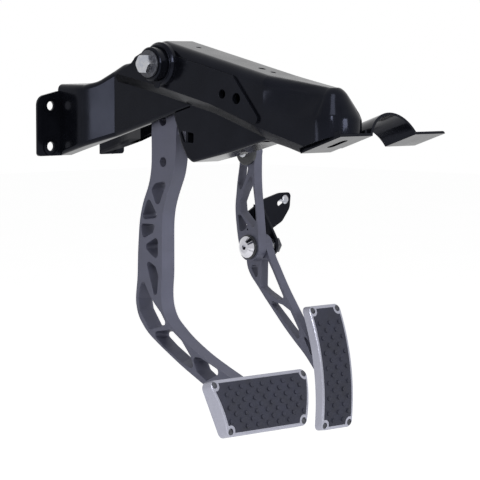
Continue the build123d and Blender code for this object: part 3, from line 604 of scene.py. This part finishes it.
def soften_fold(form):
    """The side plate's front fold drawn out into a wide, shallow bend."""
    for step in range(FOLD_STEPS + 1):
        spot = Vector((0.0, FOLD + FOLD_REACH - 2 * FOLD_REACH * step / FOLD_STEPS, 0.0))
        bmesh.ops.bisect_plane(form, geom=[*form.verts, *form.edges, *form.faces], plane_co=spot,
                               plane_no=(0.0, 1.0, 0.0), dist=CUT_DISTANCE)
    for vertex in form.verts:
        run = FOLD + FOLD_REACH - vertex.co.y
        if 0.0 < run < 2 * FOLD_REACH:
            bowed = FOLD_SLOPE * run ** 2 / (4 * FOLD_REACH)
            folded = FOLD_SLOPE * max(0.0, run - FOLD_REACH)
            vertex.co.x -= (bowed - folded) * (1.0 if vertex.co.x > 0.0 else -1.0)


def deepen_far_plate(form):
    """The right side plate's lower lip folded flat, and its lower edge drawn down."""
    for vertex in form.verts:
        run = -vertex.co.y
        above = vertex.co.z > PLATE_BOTTOM + PLATE_SLOPE * run + PLATE_BAND
        if above or vertex.co.y < PLATE_END:
            continue
        slant = min(1.0, max(0.0, (FOLD - vertex.co.y) / (FOLD - PANEL_START)))
        vertex.co.x = max(vertex.co.x, WING_WALL + (PANEL_WALL - WING_WALL) * slant)
        fade = min(1.0, (vertex.co.y - PLATE_END) / (PLATE_FADE - PLATE_END))
        vertex.co.z -= PLATE_DEPTH * min(1.0, run / -PANEL_START) * fade
    close_seams(form)


def slim_far_boss(form):
    """What stands round the right boss drawn in, so that the channel hides it from the left."""
    for vertex in form.verts:
        spoke = vertex.co - BRAKE_PIVOT
        spoke.x = 0.0
        if vertex.co.x > FAR_BOSS_X and BOSS_BORE < spoke.length < FAR_BOSS_REACH:
            kept = BOSS_BORE + (spoke.length - BOSS_BORE) * FAR_BOSS_SHARE
            vertex.co.yz = BRAKE_PIVOT.yz + spoke.yz * kept / spoke.length


def flatten_lips(form):
    """The saddle's turned-down lips drawn up into the plain thin feet."""
    normal = Vector((0.0, sin(SADDLE_TILT), cos(SADDLE_TILT)))
    foot = Vector((0.0, SADDLE_REAR, 0.0))
    for vertex in form.verts:
        depth = (vertex.co - foot).dot(normal)
        if depth < -SADDLE_SHEET:
            vertex.co -= normal * (depth + SADDLE_SHEET)
    close_seams(form)


PAINTED = {
    "main_channel": (cut_front, slim_nose, seat_nose),
    "left_side_plate": (raise_top, soften_fold),
    "right_side_plate": (raise_top, deepen_far_plate, soften_fold),
    "left_boss_plate": (),
    "right_boss_plate": (slim_far_boss,),
    "lower_box": (),
    "column_saddle": (flatten_lips,),
    "throttle_bracket": (),
    "pivot_retainers": (slim_far_boss,),
}
BLACKENED = {"pivot_washers": (slim_far_boss,), "throttle_pivot_nut": ()}


class PEDALS_OT_hanger(bpy.types.Operator):
    """Paint the pressed steel hanger, true up its front and nose, and round its sheet edges"""
    bl_idname = "pedals.hanger"
    bl_label = "Hanger"

    def execute(self, context):
        width = context.scene.pedal_edges.sheet
        for node, changes in PAINTED.items():
            rounded_piece(node, node + "_painted", HANGER, slot_of(node), width, changes)
        dress("stop_bumper")
        return {"FINISHED"}


class PEDALS_OT_pivots(bpy.types.Operator):
    """Finish the bolts, nuts, washers, bushings and sleeves of both pivots"""
    bl_idname = "pedals.pivots"
    bl_label = "Pivots"

    def execute(self, context):
        dress("pivot_bolt", "pivot_nut", "pivot_sleeve", "pivot_bushings",
              "throttle_pivot_bolt", "throttle_pivot_washer", "throttle_spacer", "throttle_bushing",
              "cable_bushing", "cable_stud", "throttle_bracket_screws")
        width = context.scene.pedal_edges.rim
        for node, changes in BLACKENED.items():
            rounded_piece(node, node + "_blackened", HANGER, "black_oxide_screws", width, changes)
        return {"FINISHED"}


# Arms

# How far the windows' corners move out on the left and on the right side, and the most as a share
ARM_WINDOWS = (0.0028, -0.0007)
LEVER_WINDOWS = (0.0018, 0.0018)
WINDOW_GROWTH = 0.2

# How the windows are found: digits that tell levels apart, the least that a side face faces
# along X, and how unequal the spokes of a round hole may be
LEVEL_DIGITS = 5
SIDE_FACING = 0.99
ROUND_HOLE = 1.15


def rim_loops(form, level):
    """The closed rims of the side face at one level along X, each a list of vertices."""
    rims = {}
    for edge in form.edges:
        if any(abs(vertex.co.x - level) > MERGE_DISTANCE for vertex in edge.verts):
            continue
        flat = [abs(face.normal.x) > SIDE_FACING for face in edge.link_faces]
        if any(flat) and not all(flat):
            first, second = edge.verts
            rims.setdefault(first, []).append(second)
            rims.setdefault(second, []).append(first)
    loops = []
    while rims:
        reached, waiting = [], [next(iter(rims))]
        while waiting:
            vertex = waiting.pop()
            if vertex in rims:
                reached.append(vertex)
                waiting.extend(rims.pop(vertex))
        loops.append(reached)
    return loops


def span_of(loop):
    """The lowest and the highest corner of the box round a rim."""
    axes = list(zip(*(vertex.co for vertex in loop)))
    return Vector([min(axis) for axis in axes]), Vector([max(axis) for axis in axes])


def is_round(loop):
    """Whether a rim's vertices lie about equally far from its middle."""
    low, high = span_of(loop)
    spokes = [(vertex.co - (low + high) / 2).length for vertex in loop]
    return max(spokes) < min(spokes) * ROUND_HOLE


def open_windows(form, reaches):
    """The corners of the windows between struts moved out; the outline and round holes stay."""
    levels = Counter(round(vertex.co.x, LEVEL_DIGITS) for vertex in form.verts)
    sides = sorted(level for level, _ in levels.most_common(2))
    for level, reach in zip(sides, reaches):
        loops = rim_loops(form, level)
        outline = max(loops, key=lambda loop: (span_of(loop)[1] - span_of(loop)[0]).length)
        for loop in loops:
            if loop is outline or is_round(loop):
                continue
            centre = sum((vertex.co for vertex in loop), Vector()) / len(loop)
            for vertex in loop:
                spoke = vertex.co - centre
                vertex.co += spoke * min(WINDOW_GROWTH, reach / spoke.length)


def open_arm(form):
    """The brake arm's windows opened out on the left and drawn in on the right."""
    open_windows(form, ARM_WINDOWS)


def open_lever(form):
    """A throttle lever's windows opened out on both sides."""
    open_windows(form, LEVER_WINDOWS)


class PEDALS_OT_arms(bpy.types.Operator):
    """Open the windows of the trussed brake arm and levers, round their edges and grey them"""
    bl_idname = "pedals.arms"
    bl_label = "Arms"

    def execute(self, context):
        width = context.scene.pedal_edges.arm
        for node, body, change in (("brake_arm", BRAKE, open_arm),
                                   ("throttle_upper_lever", THROTTLE, open_lever),
                                   ("throttle_lower_lever", THROTTLE, open_lever)):
            rounded_piece(node, node + "_machined", body, slot_of(node), width, (change,))
        return {"FINISHED"}


# Pads

class PEDALS_OT_pads(bpy.types.Operator):
    """Brush the pad frames and finish their screws"""
    bl_idname = "pedals.pads"
    bl_label = "Pads"

    def execute(self, context):
        width = context.scene.pedal_edges.rim
        for node, body in (("brake_pad_frame", BRAKE), ("throttle_pad_frame", THROTTLE)):
            rounded_piece(node, node + "_brushed", body, slot_of(node), width)
        dress("brake_pad_screws", "brake_pad_mount_screws", "throttle_pad_screws",
              "throttle_pad_mount_screws")
        return {"FINISHED"}


# Tread rubbers

BRAKE_TILT = radians(14.5)
THROTTLE_TILT = radians(8.6)
RUBBER_EDGE = 0.0004

# A dot's form: shares for its top's width, its rounding and the height where its rim starts,
# and the length of its root in the rubber
DOT_TAPER = 0.86
DOT_ROUNDING = 0.3
DOT_RIM = 0.9
DOT_ROOT = 0.0008

# Where dots go: columns to either side, probes round a dot, how far in front of the pad they
# start, and the least that the rubber faces outward where they land
DOT_COLUMNS = 6
PROBES = 8
PROBE_START = 1.0
DOT_FACING = 0.8


def pad_axes(node, tilt):
    """A pad's directions across, up and outward, its middle across, and its top and bottom."""
    across = Vector((1.0, 0.0, 0.0))
    out = Vector((0.0, -cos(tilt), sin(tilt)))
    up = out.cross(across)
    low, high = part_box(node)
    heights = [vertex.co.dot(up) for vertex in frame["nodes"][node].data.vertices]
    return across, up, out, (low[0] + high[0]) / 2, max(heights), min(heights)


def dot_mesh(settings, name):
    """One raised dot, standing on the plane Z = 0: a short cone with a rounded top."""
    form = bmesh.new()
    bmesh.ops.create_cone(form, cap_ends=True, cap_tris=False, segments=settings.dot_sides,
                          radius1=settings.dot_radius, radius2=settings.dot_radius * DOT_TAPER,
                          depth=settings.dot_height + DOT_ROOT,
                          matrix=Matrix.Translation((0, 0, (settings.dot_height - DOT_ROOT) / 2)))
    rim = [edge for edge in form.edges
           if min(vertex.co.z for vertex in edge.verts) > settings.dot_height * DOT_RIM]
    bmesh.ops.bevel(form, geom=rim, offset=settings.dot_height * DOT_ROUNDING,
                    offset_type="OFFSET", segments=2, profile=0.5, affect="EDGES",
                    clamp_overlap=True, material=-1)
    mesh = bpy.data.meshes.new(name)
    form.to_mesh(mesh)
    form.free()
    return mesh


def tread(node, name, body, tilt, pitch, rows, first_row):
    """A pad's rubber with rounded edges and staggered rows of raised dots on its bowed face."""
    settings = bpy.context.scene.pedal_tread
    across, up, out, middle, top, bottom = pad_axes(node, tilt)
    reach = settings.dot_radius + settings.margin
    ring = [(across * cos(tau * probe / PROBES) + up * sin(tau * probe / PROBES)) * reach
            for probe in range(PROBES)]
    form = merged_copy(node)
    surface = BVHTree.FromBMesh(form)
    round_edges(form, RUBBER_EDGE)
    dot = dot_mesh(settings, name + "_dot")
    for row in range(int((top - bottom) / rows) + 1):
        height = top - first_row - row * rows
        shift = pitch / 2 if row % 2 else 0.0
        for column in range(-DOT_COLUMNS, DOT_COLUMNS + 1):
            spot = across * (middle + shift + column * pitch) + up * height + out * PROBE_START
            hits = [surface.ray_cast(spot + offset, -out)[1] for offset in ring]
            place, normal = surface.ray_cast(spot, -out)[:2]
            on_face = all(hit is not None and hit.dot(out) > DOT_FACING for hit in hits)
            if place is None or not on_face:
                continue
            side = up.cross(normal).normalized()
            turn = Matrix((side, normal.cross(side), normal)).transposed().to_4x4()
            known = set(form.verts)
            form.from_mesh(dot)
            fresh = [vertex for vertex in form.verts if vertex not in known]
            bmesh.ops.transform(form, matrix=Matrix.Translation(place) @ turn, verts=fresh)
    bpy.data.meshes.remove(dot)
    add_piece(form, name, body, slot_of(node), (node,))


class PEDALS_OT_treads(bpy.types.Operator):
    """Mould the pads' rubbers with their rows of raised dots"""
    bl_idname = "pedals.treads"
    bl_label = "Treads"

    def execute(self, context):
        sizes = context.scene.pedal_tread
        tread("brake_pad_rubber", "brake_tread", BRAKE, BRAKE_TILT,
              sizes.brake_pitch, sizes.brake_rows, sizes.brake_first_row)
        tread("throttle_pad_rubber", "throttle_tread", THROTTLE, THROTTLE_TILT,
              sizes.throttle_pitch, sizes.throttle_rows, sizes.throttle_first_row)
        return {"FINISHED"}


# Stage

WHITE = (1.0, 1.0, 1.0)
SKY_SEEN = 1.0
FLOOR_COLOUR = (0.86, 0.86, 0.86)
FLOOR_SHADES = ((0.85, 0.85, 0.85), (0.87, 0.87, 0.87))
FLOOR_ROUGHNESS = 0.9
FLOOR_SEEN = 0.76
FLOOR_HALF = 9.0
SENSOR_WIDTH = 36.0
CLIP_END = 50.0

# Place and width of each square lamp, and the height of the one that is tall
KEY_LAMP = ((0.1, -2.4, 0.5), 0.7)
SIDE_LAMP = ((-2.0, 0.6, -0.04), 0.35)
TOP_LAMP = ((-0.6, -0.9, 1.6), 0.5)
STREAK_LAMP = ((-1.25, -1.35, 0.85), 0.14)
STREAK_HEIGHT = 1.1


def larger(tree, first, second):
    """The larger of two values in a shader."""
    choice = tree.nodes.new("ShaderNodeMath")
    choice.operation = "MAXIMUM"
    tree.links.new(first, choice.inputs[0])
    tree.links.new(second, choice.inputs[1])
    return choice.outputs["Value"]


def white_for_sight(tree, strength, dim, bright):
    """Strength that is bright for what the camera and reflections see, and dim as light."""
    path = tree.nodes.new("ShaderNodeLightPath").outputs
    seen = larger(tree, path["Is Camera Ray"], path["Is Glossy Ray"])
    seen = larger(tree, seen, path["Is Transmission Ray"])
    level = tree.nodes.new("ShaderNodeMapRange")
    level.inputs["To Min"].default_value = dim
    level.inputs["To Max"].default_value = bright
    tree.links.new(seen, level.inputs["Value"])
    tree.links.new(level.outputs["Result"], strength)


def pale_sky(scene, ambient):
    """Even light from all round, white where it is seen."""
    world = bpy.data.worlds.new("Pale studio")
    scene.world = world
    world.use_nodes = True
    sky = world.node_tree.nodes["Background"]
    sky.inputs["Color"].default_value = (*WHITE, 1.0)
    white_for_sight(world.node_tree, sky.inputs["Strength"], ambient, SKY_SEEN)


def pale_floor(scene, height):
    """A plain floor that keeps the pedals' soft shadow and is white where it is seen."""
    ground = bmesh.new()
    level = Matrix.Translation((0.0, 0.0, height))
    bmesh.ops.create_grid(ground, x_segments=2, y_segments=2, size=FLOOR_HALF, matrix=level)
    mesh = bpy.data.meshes.new("pale_floor")
    ground.to_mesh(mesh)
    ground.free()
    floor = bpy.data.objects.new("pale_floor", mesh)
    scene.collection.objects.link(floor)
    pale = Finish("pale_floor_paint", FLOOR_COLOUR, metallic=0.0, roughness=FLOOR_ROUGHNESS)
    pale.shader.inputs["Specular IOR Level"].default_value = 0.0
    pale.shader.inputs["Emission Color"].default_value = (*WHITE, 1.0)
    pale.colours(pale.noise(scale=3.0), (0.2, 0.8), *FLOOR_SHADES)
    strength = pale.shader.inputs["Emission Strength"]
    white_for_sight(pale.material.node_tree, strength, 0.0, FLOOR_SEEN)
    mesh.materials.append(pale.material)


def area_lamp(name, placing, power, target):
    """A soft square lamp that points at a target."""
    place, width = placing
    light = bpy.data.lights.new(name, "AREA")
    light.shape = "SQUARE"
    light.size = width
    light.energy = power
    lamp = bpy.data.objects.new(name, light)
    bpy.context.scene.collection.objects.link(lamp)
    lamp.location = place
    lamp.rotation_euler = (target - Vector(place)).to_track_quat("-Z", "Y").to_euler()
    return light


def photo_camera(scene, stage):
    """The camera where the photograph's was."""
    turn, dip = stage.camera_turn, stage.camera_dip
    ahead = Vector((sin(turn) * cos(dip), cos(turn) * cos(dip), -sin(dip)))
    right = Vector((cos(turn), -sin(turn), 0.0))
    lens = bpy.data.cameras.new("camera")
    lens.sensor_width = SENSOR_WIDTH
    lens.lens = stage.lens
    lens.clip_end = CLIP_END
    camera = bpy.data.objects.new("camera", lens)
    scene.collection.objects.link(camera)
    facing = Matrix((right, right.cross(ahead), -ahead)).transposed().to_4x4()
    camera.matrix_world = Matrix.Translation(stage.camera_place) @ facing
    scene.camera = camera


class PEDALS_OT_stage(bpy.types.Operator):
    """Set the floor, the lamps, the pale surroundings and the camera"""
    bl_idname = "pedals.stage"
    bl_label = "Stage"

    def execute(self, context):
        scene = context.scene
        stage = scene.pedal_stage
        scene.view_settings.view_transform = "Standard"
        low, high = cad_box
        pale_sky(scene, stage.ambient)
        pale_floor(scene, low[2] - stage.floor_drop)
        centre = (Vector(low) + Vector(high)) / 2
        area_lamp("key_lamp", KEY_LAMP, stage.key, centre)
        area_lamp("side_lamp", SIDE_LAMP, stage.side, centre)
        area_lamp("top_lamp", TOP_LAMP, stage.top, centre)
        streak = area_lamp("streak_lamp", STREAK_LAMP, stage.streak, centre)
        streak.shape = "RECTANGLE"
        streak.size_y = STREAK_HEIGHT
        photo_camera(scene, stage)
        return {"FINISHED"}


class PEDALS_PT_panel(bpy.types.Panel):
    """Steps that dress the pedal set"""
    bl_idname = "PEDALS_PT_panel"
    bl_label = "Hanging pedal set"
    bl_space_type = "VIEW_3D"
    bl_region_type = "UI"
    bl_category = "Pedals"

    def draw(self, context):
        for step in STEPS:
            self.layout.operator(step.bl_idname)
        for settings in (context.scene.pedal_finishes, context.scene.pedal_edges,
                         context.scene.pedal_tread, context.scene.pedal_stage):
            for name in settings.__annotations__:
                self.layout.prop(settings, name)


STEPS = (PEDALS_OT_hanger, PEDALS_OT_pivots, PEDALS_OT_arms, PEDALS_OT_pads, PEDALS_OT_treads,
         PEDALS_OT_stage)
CLASSES = (PedalFinishes, PedalEdges, PedalTread, PedalStage, *STEPS, PEDALS_PT_panel)


def register():
    for item in CLASSES:
        bpy.utils.register_class(item)
    bpy.types.Scene.pedal_finishes = PointerProperty(type=PedalFinishes)
    bpy.types.Scene.pedal_edges = PointerProperty(type=PedalEdges)
    bpy.types.Scene.pedal_tread = PointerProperty(type=PedalTread)
    bpy.types.Scene.pedal_stage = PointerProperty(type=PedalStage)


def unregister():
    del bpy.types.Scene.pedal_stage
    del bpy.types.Scene.pedal_tread
    del bpy.types.Scene.pedal_edges
    del bpy.types.Scene.pedal_finishes
    for item in reversed(CLASSES):
        bpy.utils.unregister_class(item)


def main():
    register()
    bpy.ops.pedals.hanger()
    bpy.ops.pedals.pivots()
    bpy.ops.pedals.arms()
    bpy.ops.pedals.pads()
    bpy.ops.pedals.treads()
    bpy.ops.pedals.stage()


if __name__ == "__main__":
    main()
